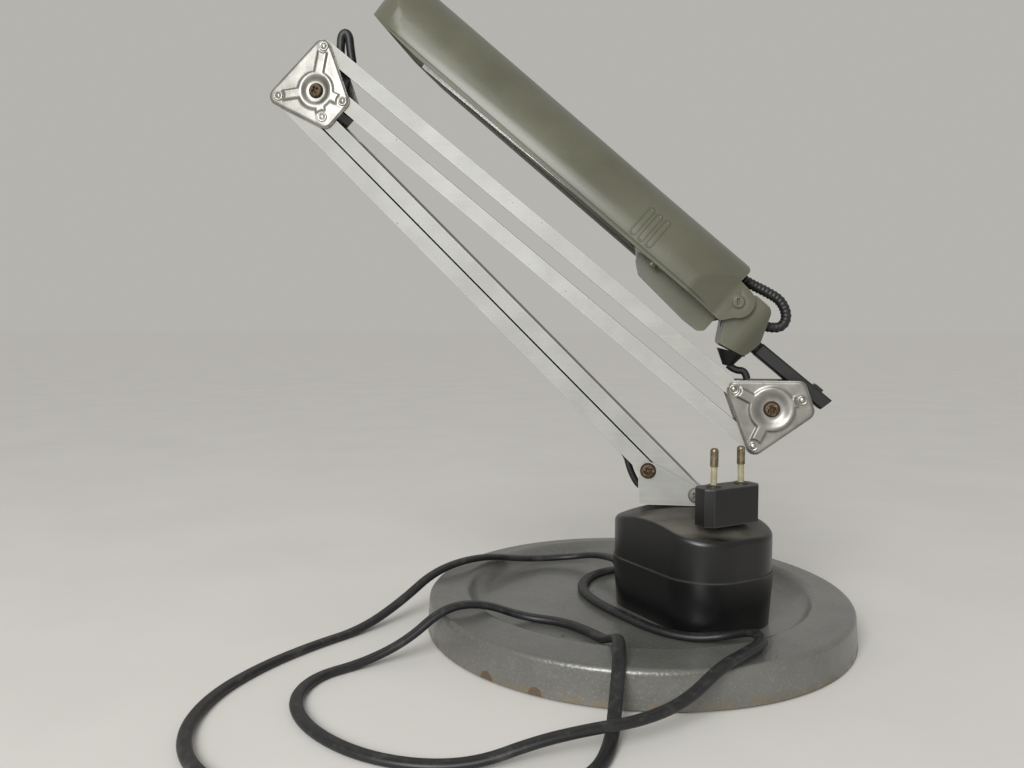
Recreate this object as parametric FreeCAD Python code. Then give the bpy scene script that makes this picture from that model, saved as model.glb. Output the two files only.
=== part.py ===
import FreeCAD, Part
import math
import os

os.makedirs("parts", exist_ok=True)

# Accordion desk lamp, folded. Millimetres, +Z up. The origin is on the desk,
# under the axis on which the arms swivel. The arms fold in the XZ plane.

# ---- driving dimensions -------------------------------------------------
BASE_CENTRE = (-27.0, 6.0)
BASE_R = 114.0
BASE_TOP_R = 112.8
BASE_TOP = 18.0
TRAY_CENTRE = (-27.0, 14.0)
TRAY_FLOOR_R = 84.4
TRAY_FLOOR = 11.0
TRAY_COVE_R = 9.0
TRAY_LIP_R = 5.0
TRAY_SLOPE = 60.0
PAD_R = 104.0
PAD_T = 1.5

HOUSING_CENTRE = (1.7, -4.9)
HOUSING_LONG = 84.0
HOUSING_WIDE = 61.0
HOUSING_CORNER = 24.0
HOUSING_TURN = -52.0
SEAM_Z = 38.0
CROWN_Z = 67.6
CROWN_R = 95.0
SHELL_T = 2.2

ARM = 285.0
LOWER_ANGLE = 135.0
UPPER_ANGLE = -40.0
LOWER_PIVOT = (-21.0, 86.0)
LOWER_LINK = (24.9, -12.3)
ELBOW_STEP = (26.4, 25.1)
UPPER_LINK = (10.1, -29.4)
CHANNEL_H = 8.0
CHANNEL_W = 16.6
CHANNEL_T = 1.0
PIN_R = 2.0
PIN_GAP = 0.05
PLATE_T = 1.2
PLATE_Y = 8.8

HEAD_ANGLE = 40.0
HEAD_TIP = (-172.25, 322.73)
HEAD_HALF_W = 31.0
SHADE_T = 1.2
TILT_AT = (244.8, 11.1)
BAR_T = 0.9
BAR_R = 3.6

CORD_W = 5.8
CORD_H = 3.6


# ---- small helpers ------------------------------------------------------
def vec(x, y, z):
    return FreeCAD.Vector(x, y, z)


def box(x0, x1, y0, y1, z0, z1):
    return Part.makeBox(x1 - x0, y1 - y0, z1 - z0, vec(x0, y0, z0))


def rod(radius, start, end):
    axis = vec(*end) - vec(*start)
    return Part.makeCylinder(radius, axis.Length, vec(*start), axis)


def pin_y(radius, x, z, y0, y1):
    return Part.makeCylinder(radius, y1 - y0, vec(x, y0, z), vec(0, 1, 0))


def disc(radius, centre, z0, z1):
    return Part.makeCylinder(radius, z1 - z0, vec(centre[0], centre[1], z0))


def rounded_wire(corners, lift):
    """Closed outline through corners (a, b, radius); lift puts (a, b) in space."""
    edges = []
    ends = []
    count = len(corners)
    for i, (a, b, r) in enumerate(corners):
        pa, pb, _ = corners[i - 1]
        na, nb, _ = corners[(i + 1) % count]
        here = FreeCAD.Vector(a, b, 0)
        if not r:
            ends.append((here, here, here, 0))
            continue
        back = FreeCAD.Vector(pa - a, pb - b, 0).normalize()
        ahead = FreeCAD.Vector(na - a, nb - b, 0).normalize()
        half = back.getAngle(ahead) / 2.0
        cut = r / math.tan(half)
        mid = (back + ahead).normalize() * (r / math.sin(half) - r)
        ends.append((here + back * cut, here + mid, here + ahead * cut, r))
    for i, (start, mid, end, r) in enumerate(ends):
        if r:
            edges.append(Part.Arc(lift(start), lift(mid), lift(end)).toShape())
        after = ends[(i + 1) % count][0]
        if end.distanceToPoint(after) > 1e-6:
            edges.append(Part.LineSegment(lift(end), lift(after)).toShape())
    return Part.Wire(edges)


def plate(corners, y0, y1):
    """Outline in the XZ plane, extruded from y0 to y1."""
    wire = rounded_wire(corners, lambda p: vec(p.x, y0, p.y))
    return Part.Face(wire).extrude(vec(0, y1 - y0, 0))


def slab(corners, z0, z1):
    """Outline in the XY plane, extruded from z0 to z1."""
    wire = rounded_wire(corners, lambda p: vec(p.x, p.y, z0))
    return Part.Face(wire).extrude(vec(0, 0, z1 - z0))


def union(shapes):
    whole = shapes[0]
    for shape in shapes[1:]:
        whole = whole.fuse(shape)
    return whole.removeSplitter()


def mirrored_y(shape):
    return shape.mirror(vec(0, 0, 0), vec(0, 1, 0))


def add(p, q):
    return (p[0] + q[0], p[1] + q[1])


def along(p, angle, length):
    turn = math.radians(angle)
    return (p[0] + length * math.cos(turn), p[1] + length * math.sin(turn))


def to_head(shape):
    """From the head's own frame (s along it, t above its rim) to the lamp's."""
    shape.rotate(vec(0, 0, 0), vec(0, 1, 0), HEAD_ANGLE)
    shape.translate(vec(HEAD_TIP[0], 0, HEAD_TIP[1]))
    return shape


def head_point(s, y, t):
    turn = math.radians(HEAD_ANGLE)
    x = HEAD_TIP[0] + s * math.cos(turn) + t * math.sin(turn)
    z = HEAD_TIP[1] - s * math.sin(turn) + t * math.cos(turn)
    return (x, y, z)


def save(name, shape):
    solids = shape.Solids
    if not shape.isValid() or not solids:
        print("CHECK", name, shape.isValid(), len(solids))
    out = solids[0] if len(solids) == 1 else Part.makeCompound(solids)
    out.exportStep("parts/" + name + ".step")
    print(name, len(solids), round(out.Volume))


# ---- base ---------------------------------------------------------------
def tray_cutter():
    """What the dished tray takes out: a coved wall that rolls over into the rim."""
    slope = math.radians(TRAY_SLOPE)
    floor = TRAY_FLOOR

    def on_cove(turn):
        return vec(TRAY_FLOOR_R + TRAY_COVE_R * math.sin(turn), 0, floor + TRAY_COVE_R * (1 - math.cos(turn)))

    wall = on_cove(slope)
    lip_x = wall.x + TRAY_LIP_R * math.sin(slope)
    lip_z = wall.z - TRAY_LIP_R * math.cos(slope)

    def on_lip(turn):
        return vec(lip_x - TRAY_LIP_R * math.sin(turn), 0, lip_z + TRAY_LIP_R * math.cos(turn))

    rim = on_lip(0.0)
    high = vec(rim.x, 0, BASE_TOP + 10)
    edges = [
        Part.LineSegment(vec(0, 0, floor), on_cove(0.0)).toShape(),
        Part.Arc(on_cove(0.0), on_cove(slope / 2), wall).toShape(),
        Part.Arc(wall, on_lip(slope / 2), rim).toShape(),
        Part.LineSegment(rim, high).toShape(),
        Part.LineSegment(high, vec(0, 0, high.z)).toShape(),
        Part.LineSegment(vec(0, 0, high.z), vec(0, 0, floor)).toShape(),
    ]
    cutter = Part.Face(Part.Wire(edges)).revolve(vec(0, 0, 0), vec(0, 0, 1), 360)
    cutter.translate(vec(TRAY_CENTRE[0], TRAY_CENTRE[1], 0))
    return cutter


def make_base():
    bx, by = BASE_CENTRE
    body = Part.makeCone(BASE_R, BASE_TOP_R, BASE_TOP - 1.0, vec(bx, by, 1.0))
    top = [e for e in body.Edges if abs(e.BoundBox.ZMin - BASE_TOP) < 1e-3 and e.BoundBox.ZLength < 1e-3]
    body = body.makeFillet(2.6, top)
    body = body.cut(tray_cutter())
    body = body.cut(disc(PAD_R + 0.2, BASE_CENTRE, 0.0, PAD_T))
    for x, y in screw_places():
        body = body.cut(disc(2.2, (x, y), 0, BASE_TOP))
        body = body.cut(disc(4.4, (x, y), 0, 5.2))
    save("base_plate", body)
    save("base_pad", disc(PAD_R, BASE_CENTRE, 0.0, PAD_T))


def screw_places():
    turn = math.radians(HOUSING_TURN)
    places = []
    for u in (-24.0, 24.0):
        for v in (-19.0, 19.0):
            x = HOUSING_CENTRE[0] + u * math.cos(turn) - v * math.sin(turn)
            y = HOUSING_CENTRE[1] + u * math.sin(turn) + v * math.cos(turn)
            places.append((x, y))
    return places


# ---- housing ------------------------------------------------------------
def housing_block(inset, z0, z1, foot=0.0):
    long_half = HOUSING_LONG / 2 - inset
    wide_half = HOUSING_WIDE / 2 - inset
    r = HOUSING_CORNER - inset

    def ring(shrink, z):
        a = long_half - shrink
        b = wide_half - shrink
        corner = r - shrink
        pts = [(-a, -b, corner), (a, -b, corner), (a, b, corner), (-a, b, corner)]
        return rounded_wire(pts, lambda p: vec(p.x, p.y, z))

    if foot:
        shape = Part.makeLoft([ring(foot, z0), ring(0.0, z1)], True, True)
    else:
        shape = Part.Face(ring(0.0, z0)).extrude(vec(0, 0, z1 - z0))
    shape.rotate(vec(0, 0, 0), vec(0, 0, 1), HOUSING_TURN)
    shape.translate(vec(HOUSING_CENTRE[0], HOUSING_CENTRE[1], 0))
    return shape


def crown(top_z, radius):
    return Part.makeSphere(radius, vec(HOUSING_CENTRE[0], HOUSING_CENTRE[1], top_z - radius))


def housing_frame(shape):
    """Place a shape modelled square to the housing's long side."""
    shape.rotate(vec(0, 0, 0), vec(0, 0, 1), HOUSING_TURN)
    shape.translate(vec(HOUSING_CENTRE[0], HOUSING_CENTRE[1], 0))
    return shape


GLAND_Z = 22.0
SWITCH_Z = 50.0


def make_housing():
    lower = housing_block(-0.8, TRAY_FLOOR, SEAM_Z, 2.0)
    lower = lower.cut(housing_block(SHELL_T, TRAY_FLOOR + 2.5, SEAM_Z + 1, 0.0))
    for x, y in screw_places():
        post = disc(3.6, (x, y), TRAY_FLOOR + 1.0, TRAY_FLOOR + 12.0)
        lower = lower.fuse(post)
        lower = lower.cut(disc(1.55, (x, y), TRAY_FLOOR - 1, TRAY_FLOOR + 10.0))
    gland_hole = housing_frame(rod(3.6, (-60.0, 0, GLAND_Z), (-30.0, 0, GLAND_Z)))
    lower = lower.cut(gland_hole)
    save("housing_lower", lower.removeSplitter())

    upper = housing_block(0.0, SEAM_Z, CROWN_Z + 2).common(crown(CROWN_Z, CROWN_R))
    rim = [e for e in upper.Edges if e.BoundBox.ZMin > SEAM_Z + 8]
    upper = upper.makeFillet(3.4, rim)
    inner = housing_block(SHELL_T, SEAM_Z - 1, CROWN_Z + 2).common(crown(CROWN_Z - SHELL_T, CROWN_R))
    inner_rim = [e for e in inner.Edges if e.BoundBox.ZMin > SEAM_Z + 8]
    inner = inner.makeFillet(1.8, inner_rim)
    upper = upper.cut(inner)
    upper = upper.cut(disc(STUD_R + PIN_GAP, (0, 0), 50, 80))
    y_out = HOUSING_WIDE / 2
    window = housing_frame(box(-7.0, 7.0, y_out - 7, y_out + 2, SWITCH_Z - 5.5, SWITCH_Z + 5.5))
    upper = upper.cut(window)
    save("housing_cover", upper.removeSplitter())


STUD_R = 6.0
STUD_BORE = 4.0
WEB_Z = 68.0
WEB_TOP = 69.2


def make_housing_inside():
    core = box(-24.0, 24.0, -15.0, 15.0, 13.5, 31.5)
    coil = box(-18.0, 18.0, -11.0, 11.0, 31.5, 38.5)
    coil = coil.makeFillet(3.0, [e for e in coil.Edges if e.BoundBox.ZLength > 5])
    save("ballast_core", housing_frame(core))
    save("ballast_coil", housing_frame(coil))
    feet = box(-31.0, -24.0, -8.0, 8.0, 13.5, 15.0)
    feet = feet.fuse(box(24.0, 31.0, -8.0, 8.0, 13.5, 15.0))
    saddle = housing_frame(feet)
    save("ballast_feet", saddle)
    block = box(-36.0, -30.0, 9.0, 18.0, 13.5, 22.0)
    block = block.fuse(box(-34.5, -31.5, 10.0, 17.0, 22.0, 24.5)).removeSplitter()
    save("terminal_block", housing_frame(block))

    screws = []
    for x, y in screw_places():
        shank = disc(1.45, (x, y), 5.2, TRAY_FLOOR + 9.0)
        head = disc(4.0, (x, y), 2.4, 5.2)
        screws.append(shank.fuse(head).removeSplitter())
    save("housing_screws", Part.makeCompound(screws))


def make_switch():
    y_out = HOUSING_WIDE / 2
    frame = box(-7.0, 7.0, y_out - 6.0, y_out + 1.0, SWITCH_Z - 5.5, SWITCH_Z + 5.5)
    frame = frame.cut(box(-5.8, 5.8, y_out - 5.0, y_out + 2.0, SWITCH_Z - 4.2, SWITCH_Z + 4.2))
    rocker = plate([(-5.2, y_out - 3.4, 0.6), (5.2, y_out - 3.4, 0.6), (5.2, y_out + 0.4, 0.6),
                    (0.0, y_out + 1.6, 8.0), (-5.2, y_out + 1.6 + 1.0, 0.6)], -3.9, 3.9)
    rocker.rotate(vec(0, 0, 0), vec(1, 0, 0), -90)
    rocker = rocker.copy()
    box_r = rocker.BoundBox
    rocker.translate(vec(0, -(box_r.YMin) + y_out - 3.4, SWITCH_Z - (box_r.ZMin + box_r.ZMax) / 2))
    save("switch_frame", housing_frame(frame))
    save("switch_rocker", housing_frame(rocker))


# ---- turret: the bracket that swivels on the housing -----------------------
def lower_second():
    return add(LOWER_PIVOT, LOWER_LINK)


def bolt_y(x, z, head_r, head_h, y_head, y_end):
    shank = pin_y(PIN_R, x, z, y_head, y_end)
    dome = pin_y(head_r, x, z, y_head - head_h, y_head)
    top = y_head - head_h
    rim = [e for e in dome.Edges if abs(e.BoundBox.YMin - top) < 1e-3 and e.BoundBox.YLength < 1e-3]
    dome = dome.makeFillet(head_h * 0.7, rim)
    return shank.fuse(dome).removeSplitter()


def nut_y(x, z, across, y0, y1):
    pts = []
    for i in range(6):
        a = math.radians(60 * i + 30)
        r = across / 2 / math.cos(math.radians(30))
        pts.append((x + r * math.cos(a), z + r * math.sin(a), 0))
    return plate(pts, y0, y1).cut(pin_y(PIN_R, x, z, y0 - 1, y1 + 1))


OUTER_Y = PLATE_Y + PLATE_T
NUT_T = 3.0


def make_turret():
    side = [(-26.0, WEB_Z, 0), (9.4, WEB_Z, 0), (9.4, 74.8, 4.0), (-26.0, 94.3, 5.5)]
    near = plate(side, -OUTER_Y, -PLATE_Y)
    far = plate(side, PLATE_Y, OUTER_Y)
    web = box(-26.0, 9.4, -OUTER_Y, OUTER_Y, WEB_Z, WEB_TOP)
    bracket = union([near, far, web])
    bracket = bracket.cut(disc(STUD_R, (0, 0), 60, 75))
    for x, z in (LOWER_PIVOT, lower_second()):
        bracket = bracket.cut(pin_y(PIN_R, x, z, -20, 20))
    save("hinge_bracket", bracket)

    stud = disc(STUD_R, (0, 0), 52.0, WEB_TOP).cut(disc(STUD_BORE, (0, 0), 50, 80))
    save("swivel_stud", stud)
    under = CROWN_Z - SHELL_T - 1.8
    washer = disc(11.0, (0, 0), under - 1.2, under - 0.2).cut(disc(STUD_R, (0, 0), 40, 80))
    save("swivel_washer", washer)
    nut = disc(10.0, (0, 0), under - 5.2, under - 1.2).cut(disc(STUD_R, (0, 0), 40, 80))
    save("swivel_nut", nut)

    bolts = []
    nuts = []
    for x, z in (LOWER_PIVOT, lower_second()):
        bolts.append(bolt_y(x, z, 3.9, 2.4, -OUTER_Y, OUTER_Y + NUT_T + 1.0))
        nuts.append(nut_y(x, z, 7.0, OUTER_Y, OUTER_Y + NUT_T))
    save("turret_bolts", Part.makeCompound(bolts))
    save("turret_nuts", Part.makeCompound(nuts))


# ---- arms ---------------------------------------------------------------
def channel(web_side, web_start, web_end):
    """U channel along +X from pivot to pivot; web_side +1 puts its web on top."""
    h = CHANNEL_H / 2
    w = CHANNEL_W / 2
    r = h - 0.01
    blank = plate([(-h, -h, r), (ARM + h, -h, r), (ARM + h, h, r), (-h, h, r)], -w, w)
    inside = box(-h - 1, ARM + h + 1, -w + CHANNEL_T, w - CHANNEL_T, -h - 1, h - CHANNEL_T)
    body = blank.cut(inside)
    for x0, x1 in ((-h - 1, web_start), (ARM - web_end, ARM + h + 1)):
        body = body.cut(box(x0, x1, -w + CHANNEL_T, w - CHANNEL_T, -h - 1, h + 1))
    if web_side < 0:
        body = body.mirror(vec(0, 0, 0), vec(0, 0, 1))
    for x in (0.0, ARM):
        body = body.cut(pin_y(PIN_R + PIN_GAP, x, 0, -w - 1, w + 1))
    return body


def make_channel(name, start, angle, web_side, webs, open_end):
    body = channel(web_side, *webs)
    if open_end:
        body = body.cut(pin_y(PIN_R + 0.45, ARM, 0, -20, 20))
    body.rotate(vec(0, 0, 0), vec(0, 1, 0), -angle)
    body.translate(vec(start[0], 0, start[1]))
    save(name, body)


def elbow_points():
    e4 = along(LOWER_PIVOT, LOWER_ANGLE, ARM)
    e3 = add(e4, LOWER_LINK)
    e1 = add(e4, ELBOW_STEP)
    e2 = add(e1, UPPER_LINK)
    return e1, e2, e3, e4


def head_points():
    e1 = elbow_points()[0]
    h1 = along(e1, UPPER_ANGLE, ARM)
    h2 = add(h1, UPPER_LINK)
    h3 = add(h1, (34.0, -5.3))
    return h1, h2, h3


def make_arms():
    e1, e2, e3, e4 = elbow_points()
    make_channel("lower_rear_channel", LOWER_PIVOT, LOWER_ANGLE, -1, (7.0, 20.0), False)
    make_channel("lower_front_channel", lower_second(), LOWER_ANGLE, -1, (7.0, 20.0), True)
    make_channel("upper_top_channel", e1, UPPER_ANGLE, 1, (20.0, 8.0), False)
    make_channel("upper_under_channel", e2, UPPER_ANGLE, 1, (20.0, 8.0), True)


# ---- pressed plates, cores and rivets ------------------------------------
def at(origin, corners):
    return [(origin[0] + x, origin[1] + z, r) for x, z, r in corners]


ELBOW_OUTLINE = [(0.9, 8.0, 5.0), (14.2, -30.2, 4.5), (0.6, -44.5, 5.0), (-35.4, -26.2, 5.0)]
HEAD_OUTLINE = [(-5.9, 4.5, 5.5), (35.3, 4.5, 4.0), (41.2, -12.6, 5.0), (8.9, -36.6, 4.5)]
ELBOW_BOLT = (-5.1, -23.0)
HEAD_BOLT = (19.1, -10.1)


def rib(p, q, width, y0, y1):
    dx = q[0] - p[0]
    dz = q[1] - p[1]
    length = math.hypot(dx, dz)
    nx = -dz / length * width / 2
    nz = dx / length * width / 2
    pts = [(p[0] + nx, p[1] + nz, 0), (q[0] + nx, q[1] + nz, 0),
           (q[0] - nx, q[1] - nz, 0), (p[0] - nx, p[1] - nz, 0)]
    return plate(pts, y0, y1)


def pressed_plate(outline, bolt, rivets, ring_r, cup_r, rib_targets):
    """Near plate: sheet with a raised ring, a dished cup in it and ribs to the rivets."""
    raise_h = 0.9
    y_face = -OUTER_Y
    sheet = plate(outline, y_face, -PLATE_Y)
    parts = [sheet, pin_y(ring_r, bolt[0], bolt[1], y_face - raise_h, y_face + 0.2)]
    for target in rib_targets:
        parts.append(rib(bolt, target, 5.4, y_face - raise_h, y_face + 0.2))
        parts.append(pin_y(3.4, target[0], target[1], y_face - raise_h, y_face + 0.2))
    body = union(parts)
    cup = Part.makeCone(cup_r, cup_r - 2.2, 1.3, vec(bolt[0], y_face - raise_h, bolt[1]), vec(0, 1, 0))
    body = body.cut(cup)
    body = body.cut(pin_y(PIN_R, bolt[0], bolt[1], -20, 20))
    for x, z in rivets:
        body = body.cut(pin_y(PIN_R, x, z, -20, 20))
    return body


def swept(pivot, from_deg, to_deg):
    """Space that a channel sweeps as it turns on a pivot, with 0.8 mm to spare."""
    half = CHANNEL_H / 2 + 0.8
    reach = 90.0
    y0 = -PLATE_Y - 0.1
    y1 = PLATE_Y + 0.1
    shape = pin_y(half, pivot[0], pivot[1], y0, y1)
    for angle in (from_deg, to_deg):
        shape = shape.fuse(rib(pivot, along(pivot, angle, reach), 2 * half, y0, y1))
    wedge = [(pivot[0], pivot[1], 0)]
    steps = 4
    for i in range(steps + 1):
        far = along(pivot, from_deg + (to_deg - from_deg) * i / steps, reach)
        wedge.append((far[0], far[1], 0))
    return shape.fuse(plate(wedge, y0, y1)).removeSplitter()


def rivet(x, z, head_r=2.8):
    """Plain rivet through both plates, with a low formed head on each side."""
    top = OUTER_Y + 0.9
    shank = pin_y(PIN_R, x, z, -top, top)
    near = pin_y(head_r, x, z, -top - 0.9, -top)
    far = pin_y(head_r, x, z, top, top + 0.9)
    body = union([shank, near, far])
    flat = [e for e in body.Edges if e.BoundBox.YLength < 1e-3]
    rims = [e for e in flat if abs(abs(e.BoundBox.YMin) - top - 0.9) < 1e-3]
    return body.makeFillet(0.6, rims)


def make_elbow():
    e1, e2, e3, e4 = elbow_points()
    rivets = (e1, e2, e3, e4)
    bolt = add(e1, ELBOW_BOLT)
    near = pressed_plate(at(e1, ELBOW_OUTLINE), bolt, rivets, 10.4, 7.0, rivets)
    save("elbow_plate_near", near)
    save("elbow_plate_far", mirrored_y(near))
    core = plate(at(e1, ELBOW_OUTLINE), -PLATE_Y, PLATE_Y)
    for pivot, start, end in ((e1, -41, 81), (e2, -41, 81), (e3, -131, -44), (e4, -131, -44)):
        core = core.cut(swept(pivot, start, end))
    core = core.cut(pin_y(PIN_R, bolt[0], bolt[1], -20, 20))
    core = max(core.Solids, key=lambda s: s.Volume)
    save("elbow_core", core)
    save("elbow_rivets", Part.makeCompound([rivet(x, z) for x, z in rivets]))
    save("elbow_bolt", bolt_y(bolt[0], bolt[1], 4.0, 2.2, -OUTER_Y + 0.4, OUTER_Y + NUT_T))
    save("elbow_nut", nut_y(bolt[0], bolt[1], 7.0, OUTER_Y - 0.4, OUTER_Y - 0.4 + NUT_T))


def make_head_bracket():
    h1, h2, h3 = head_points()
    rivets = (h1, h2, h3)
    bolt = add(h1, HEAD_BOLT)
    near = pressed_plate(at(h1, HEAD_OUTLINE), bolt, rivets, 11.8, 7.4, rivets)
    save("head_plate_near", near)
    save("head_plate_far", mirrored_y(near))

    core = plate(at(h1, HEAD_OUTLINE), -PLATE_Y, PLATE_Y)
    for pivot in (h1, h2):
        core = core.cut(swept(pivot, 139, 261))
    core = core.fuse(to_head(make_bar()))
    core = core.cut(pin_y(PIN_R, bolt[0], bolt[1], -20, 20))
    core = core.cut(pin_y(PIN_R, h3[0], h3[1], -20, 20))
    core = max(core.Solids, key=lambda s: s.Volume)
    save("head_core", core)
    save("head_rivets", Part.makeCompound([rivet(x, z) for x, z in rivets]))
    save("head_bolt", bolt_y(bolt[0], bolt[1], 4.1, 2.2, -OUTER_Y + 0.4, OUTER_Y + NUT_T))
    save("head_nut", nut_y(bolt[0], bolt[1], 7.0, OUTER_Y - 0.4, OUTER_Y - 0.4 + NUT_T))


# ---- bar, cup and tilt ----------------------------------------------------
def make_bar():
    """Straight bar in the head's frame: a round spigot, then a flat-sided bar."""
    spigot = rod(BAR_R, (253.0, 0, BAR_T), (274.0, 0, BAR_T))
    flat = box(270.0, 315.0, -5.0, 5.0, BAR_T - 3.6, BAR_T + 3.6)
    flat = flat.makeChamfer(1.0, [e for e in flat.Edges if e.BoundBox.XLength > 40])
    lug = box(303.5, 308.5, -3.0, 3.0, BAR_T + 3.0, BAR_T + 5.0)
    bar = union([spigot, flat, lug])
    slant = plate([(312.5, -8, 0), (322.0, -8, 0), (322.0, 10, 0), (316.0, 10, 0)], -20, 20)
    return bar.cut(slant)


CUP_HALF_W = 18.0
EAR_Y = 20.8
EAR_T = 1.2
SCREW_Y = EAR_Y + EAR_T


def make_cup():
    s0, t0 = TILT_AT
    side = [(s0 - 1.0, 4.0, 1.0), (248.5, 19.6, 3.0), (260.6, 19.2, 5.0),
            (267.8, 3.0, 5.0), (266.0, -7.2, 4.0), (252.0, -10.2, 3.0)]
    body = plate(side, -CUP_HALF_W, CUP_HALF_W)
    waist = [(s0 - 6.0, -CUP_HALF_W, 1.0), (259.0, -CUP_HALF_W, 9.0), (270.0, -9.0, 8.0),
             (270.0, 9.0, 8.0), (259.0, CUP_HALF_W, 9.0), (s0 - 6.0, CUP_HALF_W, 1.0)]
    body = body.common(slab(waist, -20.0, 30.0))
    mouth = [(s0 - 8, 1.0, 0), (250.0, 1.0, 0), (250.0, 16.0, 0), (s0 - 8, 26.0, 0)]
    body = body.cut(plate(mouth, -14.0, 14.0))
    hub = pin_y(6.5, s0, t0, -EAR_Y + 0.4, EAR_Y - 0.4)
    hub = hub.cut(pin_y(20, s0, t0, -13.0, 13.0))
    body = union([body, hub])
    body = body.cut(pin_y(1.6, s0, t0, -40, 40))
    body = body.cut(rod(BAR_R + PIN_GAP, (240, 0, BAR_T), (290, 0, BAR_T)))
    save("swivel_cup", to_head(max(body.Solids, key=lambda p: p.Volume)))

    screws = []
    for side_y in (-1, 1):
        shank = pin_y(1.6, s0, t0, 14.0, SCREW_Y)
        head = pin_y(3.2, s0, t0, SCREW_Y, SCREW_Y + 1.4)
        screw = shank.fuse(head).removeSplitter()
        screw = screw.cut(box(s0 - 4, s0 + 4, SCREW_Y + 0.8, SCREW_Y + 2, t0 - 0.45, t0 + 0.45))
        screws.append(screw if side_y > 0 else mirrored_y(screw))
    save("tilt_screws", to_head(Part.makeCompound(screws)))

    boot = Part.makeCone(7.6, 2.4, 8.0, vec(260.0, 0, -8.6), vec(0.5, 0, -1))
    boot = boot.fuse(Part.makeCylinder(7.6, 2.4, vec(260.0, 0, -8.6), vec(-0.25, 0, 1)))
    boot = boot.removeSplitter().cut(body)
    boot = to_head(boot).cut(head_stem())
    boot = max(boot.Solids, key=lambda p: p.Volume)
    save("cord_boot", boot)


# ---- shade ----------------------------------------------------------------
def arch(s, half_w, top, foot):
    """Cross-section of the head at s: upright sides and a round top."""
    start = vec(s, -half_w, 8.0)
    crest = vec(s, 0, top)
    end = vec(s, half_w, 8.0)
    edges = [Part.Arc(start, crest, end).toShape()]
    corners = [end, vec(s, half_w, foot), vec(s, -half_w, foot), start]
    for a, b in zip(corners, corners[1:]):
        edges.append(Part.LineSegment(a, b).toShape())
    return Part.Wire(edges)


def arch_block(inset, foot):
    w = HEAD_HALF_W - inset
    sections = [arch(-4.0, w, 35.6 - inset, foot), arch(60.0, w, 34.2 - inset, foot),
                arch(160.0, w, 31.8 - inset, foot), arch(262.0, w, 29.8 - inset, foot)]
    return Part.makeLoft(sections, True, False)


NOSE_R = 28.0


def head_plan(inset, end_w):
    """Outline of the head seen from above: round nose, drawn in towards the tilt ears."""
    w = HEAD_HALF_W - inset
    nose = -0.5 + inset
    return slab([(nose, -w, NOSE_R - inset), (222.0, -w, 8.0), (239.0, -end_w, 6.0), (270.0, -end_w, 0),
                 (270.0, end_w, 0), (239.0, end_w, 6.0), (222.0, w, 8.0), (nose, w, NOSE_R - inset)], -20, 60)


def shade_outside():
    side = [(-0.3, 6.6, 1.0), (2.2, 14.2, 3.0), (5.0, 15.6, 2.0), (16.5, 36.0, 15.0), (240.3, 30.2, 4.0),
            (238.8, 18.0, 0), (243.3, -1.6, 0), (190.0, -1.0, 0), (139.0, 0.0, 0), (85.0, 1.0, 0),
            (40.0, 2.2, 0), (18.0, 3.8, 0)]
    block = plate(side, -50, 50)
    block = block.fuse(pin_y(8.0, TILT_AT[0], TILT_AT[1], -50, 50))
    s0 = TILT_AT[0]
    lobe = [(236.0, 20.0, 0), (s0 + 1.0, 19.0, 0), (s0 + 7.9, 9.5, 0), (244.0, -1.6, 0), (236.0, -1.6, 0)]
    block = block.fuse(plate(lobe, -50, 50))
    return block.common(head_plan(0.0, EAR_Y + EAR_T)).common(arch_block(0.0, -12.0))


def shade_inside():
    side = [(0.9, -9.0, 0), (0.9, 6.6, 0.8), (3.4, 14.0, 2.0), (6.2, 15.2, 2.0), (17.2, 34.8, 14.0),
            (268.0, 29.2, 0), (268.0, -9.0, 0)]
    block = plate(side, -50, 50)
    return block.common(head_plan(SHADE_T, EAR_Y)).common(arch_block(SHADE_T, -12.0))


def make_shade():
    shell = shade_outside().cut(shade_inside())
    shell = shell.cut(pin_y(1.65, TILT_AT[0], TILT_AT[1], -60, 60))
    shell = max(shell.Solids, key=lambda p: p.Volume)
    save("shade", to_head(shell))


def trough(s, half_w, top, foot):
    start = vec(s, -half_w, foot)
    end = vec(s, half_w, foot)
    edges = [Part.Arc(start, vec(s, 0, top), end).toShape(), Part.LineSegment(end, start).toShape()]
    return Part.Wire(edges)


TUBE_R = 6.2
TUBE_GAP = 7.6
TUBE_T = 12.5
TUBE_TIP = 24.0
HOLDER_S = 190.0
CAP_LEN = 22.0


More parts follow.
